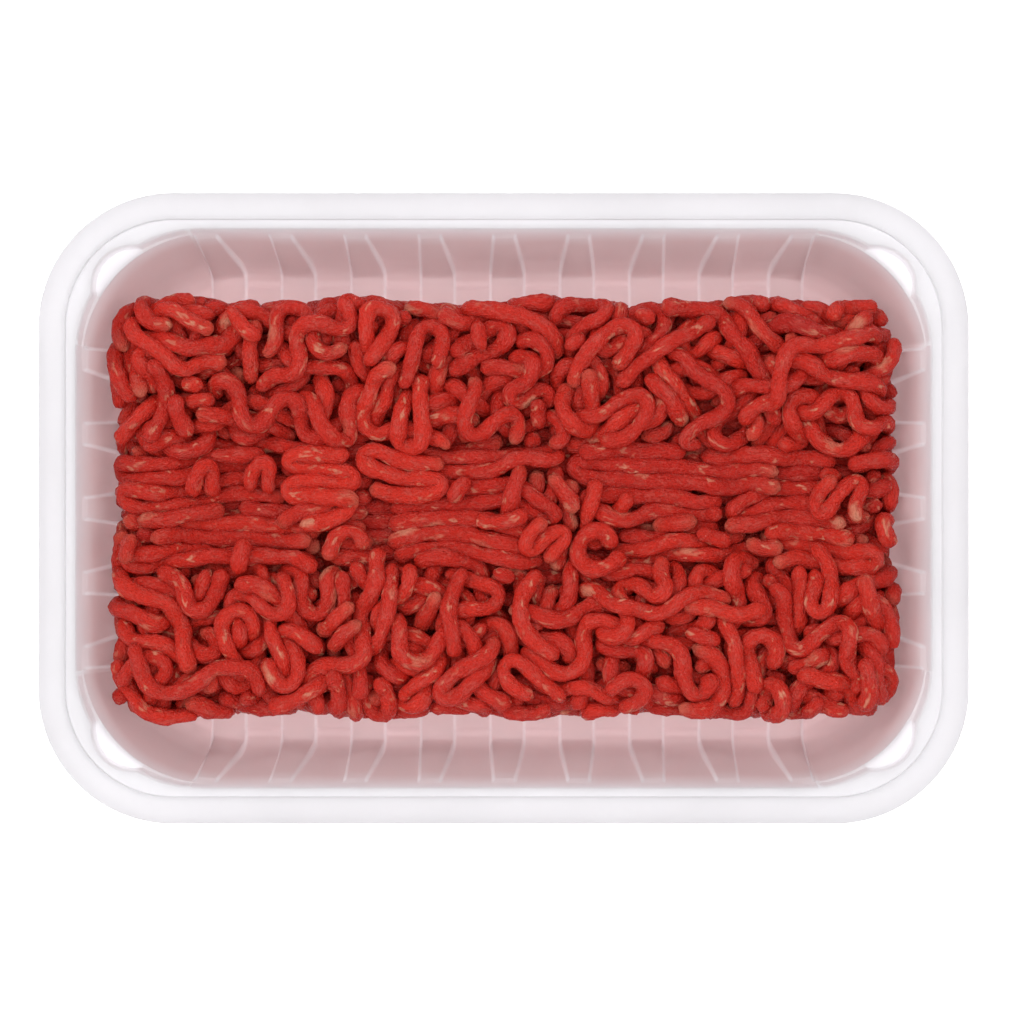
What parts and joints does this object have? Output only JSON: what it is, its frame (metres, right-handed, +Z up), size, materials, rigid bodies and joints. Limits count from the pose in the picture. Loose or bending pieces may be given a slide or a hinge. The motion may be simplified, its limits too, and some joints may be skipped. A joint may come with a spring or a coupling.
{
  "type": "meat tray pack",
  "caption": "Open white plastic food tray with ribbed walls and a wide flat rim, filled with a block of fresh minced beef in strands.",
  "frame": {"origin": "middle of the tray's footprint, on the surface it stands on", "axes": "+X along the tray's long sides, +Y across it, +Z up out of its open top"},
  "size_m": [0.227, 0.154, 0.046],
  "materials": {
    "tray_plastic": "white thermoformed sheet with a soft sheen",
    "minced_meat": "moist raw red meat with pale flecks of fat"
  },
  "bodies": {
    "root": {"tray": "tray_plastic", "mince": "minced_meat"}
  },
  "joints": []
}
